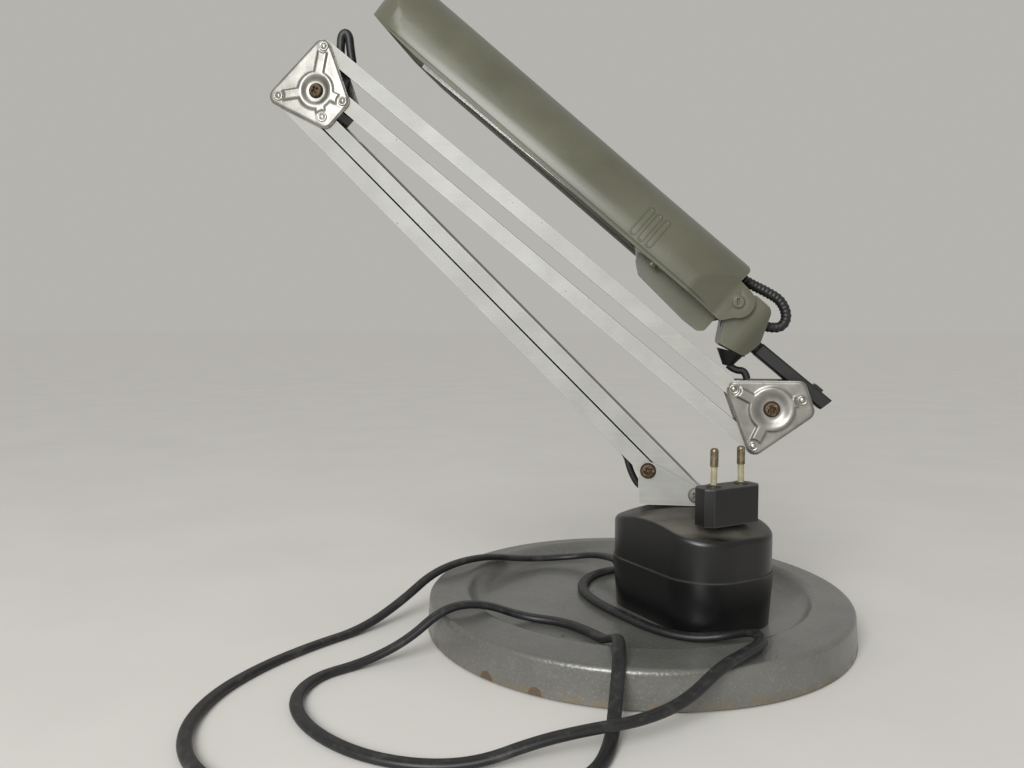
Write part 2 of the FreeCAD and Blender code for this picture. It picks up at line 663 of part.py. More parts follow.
def make_head_inside():
    outer = Part.makeLoft([trough(24.0, 27.0, 28.0, 4.0), trough(187.0, 27.0, 27.4, 4.0)], True, True)
    inner = Part.makeLoft([trough(23.0, 26.2, 27.2, 3.99), trough(188.0, 26.2, 26.6, 3.99)], True, True)
    sheet = outer.cut(inner)
    sheet = max(sheet.Solids, key=lambda p: p.Volume)
    save("reflector", to_head(sheet))

    holder = box(HOLDER_S, 216.0, -16.5, 16.5, 4.0, 21.0)
    holder = holder.makeFillet(2.0, [e for e in holder.Edges if e.BoundBox.XLength > 20])
    holder = holder.fuse(box(205.0, 214.0, -9.0, 9.0, -4.0, 6.0)).removeSplitter()
    holder = holder.cut(box(HOLDER_S - 1, HOLDER_S + 4.0, -14.6, 14.6, 6.0, 19.0))
    save("lampholder", to_head(holder))

    cap = box(HOLDER_S - 18.0, HOLDER_S + 4.0, -14.2, 14.2, 6.4, 18.6)
    cap = cap.makeFillet(2.4, [e for e in cap.Edges if e.BoundBox.XLength > 20])
    save("tube_cap", to_head(cap))
    limbs = []
    for y in (-TUBE_GAP, TUBE_GAP):
        limb = rod(TUBE_R, (TUBE_TIP, y, TUBE_T), (HOLDER_S - 18.0, y, TUBE_T))
        tip = [e for e in limb.Edges if e.BoundBox.XMax < TUBE_TIP + 0.1]
        limbs.append(limb.makeFillet(4.5, tip))
    bridge = rod(2.6, (TUBE_TIP + 9.0, -TUBE_GAP, TUBE_T), (TUBE_TIP + 9.0, TUBE_GAP, TUBE_T))
    save("tube_glass", to_head(union(limbs + [bridge])))

    outside = [(190.0, -1.0, 0), (191.6, -5.0, 1.5), (196.6, -8.8, 3.0)]
    outside = outside + [(231.0, -12.0, 6.0), (242.0, -11.6, 3.0), (242.0, -1.0, 0)]
    inside = [(192.4, 0.0, 0), (193.4, -4.2, 1.0), (197.2, -7.4, 2.0)]
    inside = inside + [(231.0, -10.6, 5.0), (240.6, -10.2, 2.0), (240.6, 0.0, 0)]
    tub = plate(outside, -12.0, 12.0)
    hollow = plate(inside, -10.6, 10.6)
    flange = box(188.0, 236.0, -29.4, 29.4, -1.0, 0.2)
    flange = flange.fuse(box(225.0, 240.0, -20.4, 20.4, -1.0, 0.2)).cut(box(191.0, 239.0, -11.0, 11.0, -3, 2))
    cover = union([tub.cut(hollow), flange])
    w = 29.4
    plan = [(187.0, -w, 1.0), (219.0, -w, 6.0), (234.0, -19.8, 4.0), (242.5, -19.8, 0),
            (242.5, 19.8, 0), (234.0, 19.8, 4.0), (219.0, w, 6.0), (187.0, w, 1.0)]
    cover = cover.common(slab(plan, -20, 10))
    for y in (-22.0, 22.0):
        cover = cover.cut(disc(1.5, (200.0, y), -20, 20))
    save("holder_cover", to_head(cover))
    screws = []
    posts = []
    for y in (-22.0, 22.0):
        shank = disc(1.5, (200.0, y), -1.0, 12.0)
        head = disc(2.8, (200.0, y), -2.4, -1.0)
        screws.append(shank.fuse(head).removeSplitter())
        post = disc(3.4, (200.0, y), 0.2, 26.0).cut(disc(1.5, (200.0, y), 0, 12.0))
        posts.append(post.common(shade_inside()))
    save("cover_screws", to_head(Part.makeCompound(screws)))
    save("shade_posts", to_head(Part.makeCompound(posts)))


# ---- cords ----------------------------------------------------------------
def corded(points):
    """Straight runs through the points, joined by tangent arcs."""
    pts = [vec(*p) for p in points]
    edges = []
    last = pts[0]
    length = 0.0
    radii = []
    for i in range(1, len(pts) - 1):
        back = pts[i - 1] - pts[i]
        ahead = pts[i + 1] - pts[i]
        cut = 0.45 * min(back.Length, ahead.Length)
        back.normalize()
        ahead.normalize()
        half = back.getAngle(ahead) / 2.0
        r = cut * math.tan(half)
        start = pts[i] + back * cut
        end = pts[i] + ahead * cut
        mid = pts[i] + (back + ahead).normalize() * (r / math.sin(half) - r)
        edges.append(Part.LineSegment(last, start).toShape())
        edges.append(Part.Arc(start, mid, end).toShape())
        length += (start - last).Length + edges[-1].Length
        radii.append(round(r))
        last = end
    edges.append(Part.LineSegment(last, pts[-1]).toShape())
    length += edges[-1].Length
    print("radii", radii)
    return Part.Wire(edges), length


def round_cord(points, radius):
    wire, length = corded(points)
    heading = vec(*points[1]) - vec(*points[0])
    circle = Part.Wire(Part.Circle(vec(*points[0]), heading, radius).toShape())
    tube = wire.makePipeShell([circle], True, False)
    filled = tube.Volume / (length * math.pi * radius ** 2)
    print("cord length", round(length), "volume ratio", round(filled, 3))
    return tube


def flat_cord(points, width, height):
    """Flat flex that keeps its flat side level along the whole path."""
    wire, length = corded(points)
    start = vec(*points[0])
    heading = (vec(*points[1]) - start).normalize()
    across = heading.cross(vec(0, 0, 1)).normalize()
    up = across.cross(heading).normalize()
    r = height / 2 - 0.02
    a = width / 2
    b = height / 2
    pts = [(-a, -b, r), (a, -b, r), (a, b, r), (-a, b, r)]
    section = rounded_wire(pts, lambda p: start + across * p.x + up * p.y)
    pipe = Part.BRepOffsetAPI.MakePipeShell(wire)
    pipe.setBiNormalMode(vec(0, 0, 1))
    pipe.add(section)
    pipe.build()
    pipe.makeSolid()
    tube = pipe.shape()
    area = Part.Face(section).Area
    print("flat cord length", round(length), "volume ratio", round(tube.Volume / (length * area), 3))
    return tube


def on_housing(u, v):
    turn = math.radians(HOUSING_TURN)
    x = HOUSING_CENTRE[0] + u * math.cos(turn) - v * math.sin(turn)
    y = HOUSING_CENTRE[1] + u * math.sin(turn) + v * math.cos(turn)
    return (x, y)


GLAND_OUT = 65.0
PLUG_AT = (17.5, -32.0)
PLUG_TURN = 38.0
PLUG_Z = 65.0
PLUG_TOP = 83.5
PLUG_EXIT = (21.5, 0.0, 69.2)
PLUG_BOSS = (15.8, -20.5, 69.2)

MAINS_PATH = [
    (-49, 64, 20.6), (-70, 73, 15.2), (-97, 63, 15.4), (-119, 42, 22.6), (-140, 10, 22.6),
    (-155, -14, 10.0), (-170, -37, 1.9), (-187, -62, 1.9), (-201, -92, 1.9), (-208, -124, 1.9),
    (-203, -156, 1.9), (-185, -182, 1.9), (-155, -197, 1.9), (-119, -201, 1.9), (-85, -195, 1.9),
    (-57, -182, 1.9), (-40, -163, 1.9), (-35, -141, 1.9), (-34, -121, 9.5), (-33, -104, 22.4),
    (-34, -80, 22.4), (-40, -64, 13.6), (-49, -51, 12.9), (-63, -39, 12.9), (-84, -35, 12.9),
    (-104, -44, 22.3), (-121, -55, 22.3), (-136, -68, 9.5), (-155, -80, 1.9), (-171, -97, 1.9),
    (-172, -121, 1.9), (-157, -144, 1.9), (-132, -161, 1.9), (-106, -167, 1.9), (-83, -163, 2.4),
    (-62, -155, 8.4), (-42, -146, 10.4), (-24, -137, 10.4), (-6, -122, 12.5), (9, -105, 21.0),
    (20, -93, 22.6), (29.4, -80, 22.8), (28.3, -64, 22.0), (17.2, -53, 15.5), (1, -52.5, 12.9),
    (-16, -45, 12.9),
    (-32, -27, 12.9), (-49, -5, 12.9), (-58, 16, 12.9), (-56, 38, 12.9), (-45, 55, 12.9),
    (-26, 65, 12.9), (-4, 70, 12.9), (17, 70, 13.2), (33, 61, 21.0), (38.5, 46, 38.0),
    (33.5, 31, 58.0), (26, 15, 69.4),
]


def make_mains():
    face = HOUSING_LONG / 2 + 0.5
    gland = rod(6.0, (-face - 2.6, 0, GLAND_Z), (-face, 0, GLAND_Z))
    gland = gland.fuse(rod(3.5, (-face, 0, GLAND_Z), (-face + 8.0, 0, GLAND_Z)))
    sleeve_start = vec(-face - 2.6, 0, GLAND_Z)
    gland = gland.fuse(Part.makeCone(4.6, 3.3, GLAND_OUT - face - 2.6, sleeve_start, vec(-1, 0, 0)))
    save("cord_gland", housing_frame(gland.removeSplitter()))

    x0, y0 = on_housing(-GLAND_OUT, 0.0)
    path = [(x0, y0, GLAND_Z)] + MAINS_PATH + [PLUG_EXIT]
    save("mains_cord", flat_cord(path, CORD_W, CORD_H))

    a, b = 35.3 / 2, 13.7 / 2
    body = slab([(-a, -b, 0), (a, -b, 0), (a, b, 0), (-a, b, 0)], PLUG_Z, PLUG_TOP)
    body = body.makeChamfer(3.4, [e for e in body.Edges if e.BoundBox.ZLength > 5])
    body = body.makeFillet(0.6, [e for e in body.Edges if e.BoundBox.ZMin > PLUG_TOP - 0.1])
    pins = []
    sleeves = []
    for x in (-9.3, 9.3):
        foot = (x, 0, PLUG_Z + 6.0)
        knee = (x * 0.945, 0, 93.5)
        tip = rod(2.0, knee, (x * 0.94, 0, 102.5))
        tip = tip.makeFillet(1.4, [e for e in tip.Edges if e.BoundBox.ZMin > 102.0])
        pin = union([rod(1.1, foot, knee), tip])
        sleeve = rod(1.55, foot, knee)
        body = body.cut(sleeve)
        pins.append(pin)
        sleeves.append(sleeve.cut(pin))
    body.rotate(vec(0, 0, 0), vec(0, 0, 1), PLUG_TURN)
    body.translate(vec(PLUG_AT[0], PLUG_AT[1], 0))
    relief = Part.makeCone(4.2, 3.2, (vec(*PLUG_EXIT) - vec(*PLUG_BOSS)).Length, vec(*PLUG_BOSS),
                           vec(*PLUG_EXIT) - vec(*PLUG_BOSS))
    boss = disc(5.2, (PLUG_BOSS[0], PLUG_BOSS[1] - 2.0), PLUG_Z, 75.0)
    body = union([body, relief, boss])
    body = body.cut(crown(CROWN_Z, CROWN_R))
    save("plug_body", max(body.Solids, key=lambda p: p.Volume))
    for name, group in (("plug_pins", pins), ("plug_sleeves", sleeves)):
        both = Part.makeCompound(group)
        both.rotate(vec(0, 0, 0), vec(0, 0, 1), PLUG_TURN)
        both.translate(vec(PLUG_AT[0], PLUG_AT[1], 0))
        save(name, both)


def head_stem():
    """The short lead between the boot under the cup and the core of the head plates."""
    return round_cord([(20.1, 0, 141.6), (23.6, 0, 138.6), (28.9, 0, 138.8), (29.8, 0, 134.3)], 1.9)


def make_small_cords():
    e1 = elbow_points()[0]
    loop = [(5.6, 0.6), (3.6, 7.8), (6.5, 12.5), (11.5, 10.5), (13.2, 3.0), (15.0, -3.0)]
    save("elbow_cord_loop", round_cord([(e1[0] + x, 0, e1[1] + z) for x, z in loop], 2.4))
    feed = [(-44.0, 0, 106.0), (-33.0, 0, 95.0), (-30.5, 0, 84.0), (-25.0, 0, 74.5), (-12.0, 0, 72.0)]
    save("arm_cable_lower", round_cord(feed + [(-3.0, 0, 71.8)], 1.7))
    save("head_cord_stem", head_stem())
    bend = [(233.0, 22.5), (243.0, 23.6), (253.0, 26.0), (262.5, 27.5), (270.8, 22.8), (271.5, 15.2)]
    bend.append((264.2, 11.9))
    loop = [head_point(s, 0, t) for s, t in bend]
    save("head_cord_loop", round_cord(loop, 2.3))


make_base()
make_housing()
make_housing_inside()
make_switch()
make_turret()
make_arms()
make_elbow()
make_head_bracket()
make_cup()
make_shade()
make_head_inside()
make_mains()
make_small_cords()
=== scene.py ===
import bpy, bmesh, math
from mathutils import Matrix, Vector


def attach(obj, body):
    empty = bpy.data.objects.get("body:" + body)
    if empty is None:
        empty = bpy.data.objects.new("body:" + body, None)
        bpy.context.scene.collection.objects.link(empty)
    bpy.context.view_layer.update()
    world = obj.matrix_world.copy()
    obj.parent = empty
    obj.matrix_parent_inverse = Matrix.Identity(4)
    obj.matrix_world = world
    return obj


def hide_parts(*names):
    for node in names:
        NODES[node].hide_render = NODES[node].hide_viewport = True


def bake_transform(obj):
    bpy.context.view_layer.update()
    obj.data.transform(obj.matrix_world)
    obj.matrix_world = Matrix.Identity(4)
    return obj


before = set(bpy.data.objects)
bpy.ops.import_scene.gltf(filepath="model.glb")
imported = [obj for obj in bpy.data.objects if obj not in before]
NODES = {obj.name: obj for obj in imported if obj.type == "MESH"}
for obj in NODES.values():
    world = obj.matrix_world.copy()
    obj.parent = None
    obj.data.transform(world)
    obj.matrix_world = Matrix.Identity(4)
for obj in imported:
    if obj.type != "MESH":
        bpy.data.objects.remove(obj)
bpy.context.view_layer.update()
MM = 0.001


# ---- camera ---------------------------------------------------------------
def place_camera():
    data = bpy.data.cameras.new("photo_camera")
    data.sensor_width = 36.0
    data.lens = 29.53
    data.clip_start = 0.01
    camera = bpy.data.objects.new("photo_camera", data)
    bpy.context.scene.collection.objects.link(camera)
    turn, down = math.radians(8.72), math.radians(3.8)
    camera.location = (-0.02535, -0.45383, 0.16083)
    camera.rotation_euler = (math.pi / 2 - down, 0.0, turn)
    bpy.context.scene.camera = camera


place_camera()


# ---- the lamp's own measures, in millimetres --------------------------------
def stepped(start, angle, length):
    turn = math.radians(angle)
    return (start[0] + length * math.cos(turn), start[1] + length * math.sin(turn))


def shifted(point, by):
    return (point[0] + by[0], point[1] + by[1])


ARM = 285.0
B1 = (-21.0, 86.0)
B2 = (3.9, 73.7)
E4 = stepped(B1, 135.0, ARM)
E3 = shifted(E4, (24.9, -12.3))
E1 = shifted(E4, (26.4, 25.1))
E2 = shifted(E1, (10.1, -29.4))
H1 = stepped(E1, -40.0, ARM)
H2 = shifted(H1, (10.1, -29.4))
H3 = shifted(H1, (34.0, -5.3))
ELBOW_BOLT = shifted(E1, (-5.1, -23.0))
HEAD_BOLT = shifted(H1, (19.1, -10.1))
PLATE_FACE = 10.0
HOUSING_AT = (1.7, -4.9)
HOUSING_TURN = -52.0
PLUG_AT = (17.5, -32.0)
PLUG_TURN = 38.0
PLUG_FACE = 83.4
PIN_OFF_CENTRE = 9.0


def on_head(s, y, t):
    """A point given along the shade (s) and above its rim (t)."""
    turn = math.radians(40.0)
    return (-172.25 + s * math.cos(turn) + t * math.sin(turn), y,
            322.73 - s * math.sin(turn) + t * math.cos(turn))


def on_housing(u, v, z):
    turn = math.radians(HOUSING_TURN)
    return (HOUSING_AT[0] + u * math.cos(turn) - v * math.sin(turn),
            HOUSING_AT[1] + u * math.sin(turn) + v * math.cos(turn), z)


# ---- the mains lead ---------------------------------------------------------
LEAD_ROUTE = [
    on_housing(-65.0, 0.0, 22.0), (-49, 64, 20.6), (-70, 73, 15.2), (-97, 63, 15.4), (-119, 42, 22.6),
    (-140, 10, 22.6), (-155, -14, 10.0), (-170, -37, 1.9), (-187, -62, 1.9), (-201, -92, 1.9),
    (-208, -124, 1.9),
    (-203, -156, 1.9), (-185, -182, 1.9), (-155, -197, 1.9), (-119, -201, 1.9), (-85, -195, 1.9),
    (-57, -182, 1.9), (-40, -163, 1.9), (-35, -141, 1.9), (-34, -121, 9.5), (-33, -104, 22.4),
    (-34, -80, 22.4), (-40, -64, 13.6), (-49, -51, 12.9), (-63, -39, 12.9), (-84, -35, 12.9),
    (-104, -44, 22.3), (-121, -55, 22.3), (-136, -68, 9.5), (-155, -80, 1.9), (-171, -97, 1.9),
    (-172, -121, 1.9), (-157, -144, 1.9), (-132, -161, 1.9), (-106, -167, 1.9), (-83, -163, 2.4),
    (-62, -155, 8.4), (-42, -146, 10.4), (-24, -137, 10.4), (-6, -122, 12.5), (9, -105, 21.0),
    (20, -93, 22.6), (29.4, -80, 22.8), (28.3, -64, 22.0), (17.2, -53, 15.5), (1, -52.5, 12.9),
    (-16, -45, 12.9),
    (-32, -27, 12.9), (-49, -5, 12.9), (-58, 16, 12.9), (-56, 38, 12.9), (-45, 55, 12.9),
    (-26, 65, 12.9), (-4, 70, 12.9), (17, 70, 13.2), (33, 61, 21.0), (38.5, 46, 38.0),
    (33.5, 31, 58.0), (26, 15, 69.4), (21.5, 0, 69.2),
]


def nurbs_route(name, points_mm):
    curve = bpy.data.curves.new(name, "CURVE")
    curve.dimensions = "3D"
    curve.resolution_u = 8
    spline = curve.splines.new("NURBS")
    spline.points.add(len(points_mm) - 1)
    for point, place in zip(spline.points, points_mm):
        point.co = (*(c * MM for c in place), 1.0)
    spline.order_u = 3
    spline.use_endpoint_u = True
    return curve


def flex_section(name, width, height):
    """Flat twin flex seen end on: two round cores side by side in one sheath."""
    curve = bpy.data.curves.new(name, "CURVE")
    curve.dimensions = "2D"
    spline = curve.splines.new("POLY")
    ring = []
    r = height / 2
    off = width / 2 - r
    for side in (1, -1):
        for k in range(9):
            angle = math.radians(-104 + 26 * k) + (0 if side > 0 else math.pi)
            ring.append((side * off + r * math.cos(angle), r * math.sin(angle)))
    spline.points.add(len(ring) - 1)
    for point, (x, y) in zip(spline.points, ring):
        point.co = (x * MM, y * MM, 0.0, 1.0)
    spline.use_cyclic_u = True
    section = bpy.data.objects.new(name, curve)
    bpy.context.scene.collection.objects.link(section)
    section.hide_render = True
    return section


def lay_lead():
    curve = nurbs_route("mains_lead", LEAD_ROUTE)
    curve.twist_mode = "Z_UP"
    curve.bevel_mode = "OBJECT"
    curve.bevel_object = flex_section("flex_section", 5.8, 3.4)
    curve.use_fill_caps = True
    lead = bpy.data.objects.new("mains_lead", curve)
    bpy.context.scene.collection.objects.link(lead)
    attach(lead, "base")
    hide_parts("mains_cord")
    start = [c * MM for c in LEAD_ROUTE[0]]
    return lead


mains_lead = lay_lead()


# ---- making pieces ----------------------------------------------------------
def finished(name, bm, body, finish, stands_for=(), sharp=32.0, recalc=True):
    """Turns a bmesh in millimetres into a piece that rides on a body given by name; given a tuple of bodies and
    points, the piece is only left in place.
    """
    if recalc:
        bmesh.ops.recalc_face_normals(bm, faces=bm.faces)
    bmesh.ops.scale(bm, vec=(MM, MM, MM), verts=bm.verts)
    mesh = bpy.data.meshes.new(name)
    bm.to_mesh(mesh)
    bm.free()
    for polygon in mesh.polygons:
        polygon.use_smooth = True
    mesh.set_sharp_from_angle(angle=math.radians(sharp))
    piece = bpy.data.objects.new(name, mesh)
    bpy.context.scene.collection.objects.link(piece)
    mesh.materials.append(finish.material)
    if isinstance(body, str):
        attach(piece, body)
    else:
        [c * MM for c in body[2]]
        [c * MM for c in body[3]]
        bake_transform(piece)
    if stands_for:
        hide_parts(*stands_for)
    return piece


def turned(bm, profile, at, axis, steps=32):
    """Turns (radius, height) pairs about an axis, closed at both ends where the radius is 0."""
    lift = Vector(axis).normalized()
    side = lift.orthogonal().normalized()
    row = [bm.verts.new(Vector(at) + side * r + lift * h) for r, h in profile]
    edges = [bm.edges.new((a, b)) for a, b in zip(row, row[1:])]
    bmesh.ops.spin(bm, geom=row + edges, cent=at, axis=lift, dvec=(0, 0, 0), angle=2 * math.pi, steps=steps,
                   use_merge=True)
    bmesh.ops.remove_doubles(bm, verts=bm.verts, dist=1e-4)


def smooth(low, high, value):
    share = max(0.0, min(1.0, (value - low) / (high - low)))
    return share * share * (3 - 2 * share)


def rounded(corners, facets=5):
    """The outline through (x, z, radius) corners as a list of points, anticlockwise."""
    area = sum(a[0] * b[1] - b[0] * a[1] for a, b in zip(corners, corners[1:] + corners[:1]))
    if area < 0:
        corners = corners[::-1]
    points = []
    for i, (x, z, r) in enumerate(corners):
        here = Vector((x, z))
        back = (Vector(corners[i - 1][:2]) - here).normalized()
        ahead = (Vector(corners[(i + 1) % len(corners)][:2]) - here).normalized()
        half = back.angle(ahead) / 2
        middle = here + (back + ahead).normalized() * (r / math.sin(half))
        first = here + back * (r / math.tan(half)) - middle
        last = here + ahead * (r / math.tan(half)) - middle
        swing = first.angle_signed(last)
        for k in range(facets + 1):
            turn = -swing * k / facets
            points.append((middle.x + first.x * math.cos(turn) - first.y * math.sin(turn),
                           middle.y + first.x * math.sin(turn) + first.y * math.cos(turn)))
    return points


def disc_outline(x, z, r):
    """A circle as a rounded square, for small round heads."""
    corner = r * 0.999
    return rounded([(x - r, z - r, corner), (x + r, z - r, corner), (x + r, z + r, corner), (x - r, z + r, corner)], 9)


def inside_by(outline, x, z):
    """How far a point lies inside a convex anticlockwise outline."""
    best = 1e9
    for (ax, az), (bx, bz) in zip(outline, outline[1:] + outline[:1]):
        length = math.hypot(bx - ax, bz - az)
        if length > 1e-6:
            best = min(best, ((bx - ax) * (z - az) - (bz - az) * (x - ax)) / length)
    return best


def relief(bm, outline, face_y, back_y, height, cell):
    """A sheet over a convex outline in the XZ plane, pressed to height(x, z) away from its back."""
    slope_shade = bm.verts.layers.float.get("slope_shade") or bm.verts.layers.float.new("slope_shade")
    xs = [p[0] for p in outline]
    zs = [p[1] for p in outline]
    wide, tall = max(xs) - min(xs) + cell, max(zs) - min(zs) + cell
    across, along = int(wide / cell) + 1, int(tall / cell) + 1
    sheet = bmesh.ops.create_grid(bm, x_segments=across, y_segments=along, size=0.5)["verts"]
    for v in sheet:
        v.co = Vector(((max(xs) + min(xs)) / 2 + v.co.x * wide, face_y,
                       (max(zs) + min(zs)) / 2 + v.co.y * tall))
    faces = set(f for v in sheet for f in v.link_faces)
    for (ax, az), (bx, bz) in zip(outline, outline[1:] + outline[:1]):
        if math.hypot(bx - ax, bz - az) < 1e-6:
            continue
        live = [f for f in faces if f.is_valid]
        geom = live + list({e for f in live for e in f.edges}) + list({v for f in live for v in f.verts})
        cut = bmesh.ops.bisect_plane(bm, geom=geom, dist=1e-5, plane_co=(ax, face_y, az),
                                     plane_no=(bz - az, 0, ax - bx), clear_outer=True)
        faces = {g for g in cut["geom"] if isinstance(g, bmesh.types.BMFace)}
    live = [f for f in faces if f.is_valid]
    verts = list({v for f in live for v in f.verts})
    border = [e for e in {e for f in live for e in f.edges} if e.is_boundary]
    out = 1.0 if face_y > back_y else -1.0
    for v in verts:
        x, z = v.co.x, v.co.z
        h = height(x, z)
        v.co.y = face_y + out * h
        slope = math.hypot(height(x + 0.25, z) - h, height(x, z + 0.25) - h) / 0.25
        # painted shade: steep flanks get a high value, which the plate and screw finishes paint darker
        v[slope_shade] = min(1.0, slope * 0.9)
    skirt = bmesh.ops.extrude_edge_only(bm, edges=border)["geom"]
    for v in skirt:
        if isinstance(v, bmesh.types.BMVert):
            v.co.y = back_y
    rim = [e for e in skirt if isinstance(e, bmesh.types.BMEdge) and e.is_boundary]
    bmesh.ops.holes_fill(bm, edges=rim, sides=0)


def hose(bm, route_mm, radius, sides=16, cell=0.8):
    """A tube along a smooth line; radius(way, length) is its radius after so many mm."""
    curve = nurbs_route("line", route_mm)
    curve.resolution_u = 16
    line = bpy.data.objects.new("line", curve)
    bpy.context.scene.collection.objects.link(line)
    bpy.context.view_layer.update()
    mesh = bpy.data.meshes.new_from_object(line)
    raw = [v.co / MM for v in mesh.vertices]
    bpy.data.objects.remove(line)
    bpy.data.meshes.remove(mesh)
    ways = [0.0]
    for a, b in zip(raw, raw[1:]):
        ways.append(ways[-1] + (b - a).length)
    length = ways[-1]
    count = max(4, int(length / cell))
    places = []
    k = 0
    for i in range(count + 1):
        want = length * i / count
        while k < len(ways) - 2 and ways[k + 1] < want:
            k += 1
        share = (want - ways[k]) / max(1e-9, ways[k + 1] - ways[k])
        places.append(raw[k].lerp(raw[k + 1], share))
    heading = (places[1] - places[0]).normalized()
    ring = bmesh.ops.create_circle(bm, cap_ends=True, segments=sides, radius=1.0)["verts"]
    turn = Vector((0, 0, 1)).rotation_difference(heading)
    for v in ring:
        v.co = places[0] + turn @ (v.co * radius(0.0, length))
    edges = list({e for v in ring for e in v.link_edges})
    here, size = places[0], radius(0.0, length)
    for i in range(1, count + 1):
        ahead = places[min(i + 1, count)] - places[i - 1]
        swing = heading.rotation_difference(ahead)
        heading = ahead.normalized()
        grown = radius(length * i / count, length)
        made = bmesh.ops.extrude_edge_only(bm, edges=edges)["geom"]
        for v in made:
            if isinstance(v, bmesh.types.BMVert):
                v.co = places[i] + swing @ ((v.co - here) * (grown / size))
        edges = [e for e in made if isinstance(e, bmesh.types.BMEdge)]
        here, size = places[i], grown
    bmesh.ops.holes_fill(bm, edges=edges, sides=0)


def softened(node, name, width, finish, body, flat=True, turn_angle=30.0):
    """A CAD node's own shape with its hard edges slightly rounded; its broad faces stay flat if asked."""
    bm = bmesh.new()
    bm.from_mesh(NODES[node].data)
    bmesh.ops.scale(bm, vec=(1000, 1000, 1000), verts=bm.verts)
    bmesh.ops.remove_doubles(bm, verts=bm.verts, dist=2e-3)
    bmesh.ops.dissolve_limit(bm, angle_limit=math.radians(1.0), verts=bm.verts, edges=bm.edges)
    least_turn = math.radians(turn_angle)
    sharp = [e for e in bm.edges if len(e.link_faces) == 2 and e.calc_face_angle(0) > least_turn]
    bmesh.ops.bevel(bm, geom=sharp, offset=width, offset_type="OFFSET", segments=2, profile=0.5,
                    affect="EDGES", material=-1, clamp_overlap=True)
    piece = finished(name, bm, body, finish, (node,), recalc=False, sharp=40.0)
    broad = 150.0 * MM * MM
    for polygon in piece.data.polygons:
        if flat and polygon.area > broad:
            polygon.use_smooth = False
    return piece


# ---- shader helpers ---------------------------------------------------------
class Sock:
    """A shader socket with sums, products and steps written as Python."""

    def __init__(self, mat, socket):
        self.mat = mat
        self.socket = socket

    def math(self, operation, *others, clamp=False):
        values = [self] + list(others)
        settings = {"operation": operation, "use_clamp": clamp}
        return self.mat.node("ShaderNodeMath", settings, dict(enumerate(values)))

    def __add__(self, other):
        return self.math("ADD", other)

    __radd__ = __add__

    def __mul__(self, other):
        return self.math("MULTIPLY", other)

    __rmul__ = __mul__

    def __sub__(self, other):
        return self.math("SUBTRACT", other)

    def __rsub__(self, other):
        return self.mat.node("ShaderNodeMath", {"operation": "SUBTRACT"}, {0: other, 1: self})

    def __pow__(self, other):
        return self.math("POWER", other)

    def __abs__(self):
        return self.math("ABSOLUTE")

    def over(self, low, high):
        """0 at low, 1 at high, smooth between."""
        return self.mat.node("ShaderNodeMapRange", {"interpolation_type": "SMOOTHSTEP"},
                             {"Value": self, "From Min": low, "From Max": high}, "Result")

    def most(self, other):
        return self.math("MAXIMUM", other)


def srgb(r, g, b):
    def lin(v):
        v /= 255.0
        return v / 12.92 if v <= 0.04045 else ((v + 0.055) / 1.055) ** 2.4
    return (lin(r), lin(g), lin(b), 1.0)


